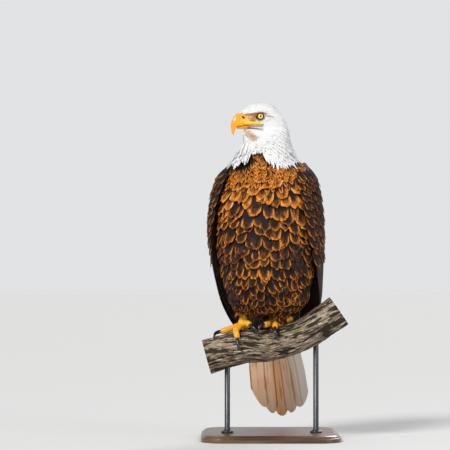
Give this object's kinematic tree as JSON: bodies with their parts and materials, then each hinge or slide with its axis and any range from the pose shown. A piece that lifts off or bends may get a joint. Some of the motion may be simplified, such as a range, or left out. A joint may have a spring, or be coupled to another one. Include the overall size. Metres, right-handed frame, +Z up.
{
  "type": "bald eagle model",
  "caption": "Life-size adult bald eagle with folded wings and turned head, gripping a cut length of branch on a plain display stand",
  "frame": {"origin": "on the floor under the middle of the whole model's box", "axes": "+Z up; the bird's breast faces -Y and its bill points towards -X; the branch rises towards +X"},
  "size_m": [0.3826, 0.3492, 0.8746],
  "materials": {
    "white_feather": "soft white feather",
    "brown_feather": "dark brown feather with tan and orange edges",
    "dark_feather": "blackish brown flight feather",
    "bill_horn": "waxy yellow horn",
    "eye": "wet yellow eye with a black pupil",
    "yellow_scale": "yellow scaly skin",
    "claw": "black horn",
    "bark": "rough grey-brown bark",
    "rod": "satin black",
    "base_wood": "dark satin wood"
  },
  "bodies": {
    "root": {"head": "white_feather", "neck": "white_feather", "trunk": "brown_feather", "tail_coverts": "white_feather", "tail": "white_feather", "bill_upper": "bill_horn", "bill_lower": "bill_horn", "eye_right": "eye", "eye_left": "eye", "wing_right_coverts": "brown_feather", "wing_right_secondaries": "dark_feather", "wing_right_primaries": "dark_feather", "wing_left_coverts": "brown_feather", "wing_left_secondaries": "dark_feather", "wing_left_primaries": "dark_feather", "thigh_right": "brown_feather", "thigh_left": "brown_feather", "shank_right": "yellow_scale", "shank_left": "yellow_scale", "foot_right": "yellow_scale", "foot_left": "yellow_scale", "claw_right_inner": "claw", "claw_right_middle": "claw", "claw_right_outer": "claw", "claw_right_rear": "claw", "claw_left_inner": "claw", "claw_left_middle": "claw", "claw_left_outer": "claw", "claw_left_rear": "claw", "perch": "bark", "stand_rod_right": "rod", "stand_rod_left": "rod", "stand_base": "base_wood"}
  },
  "joints": []
}
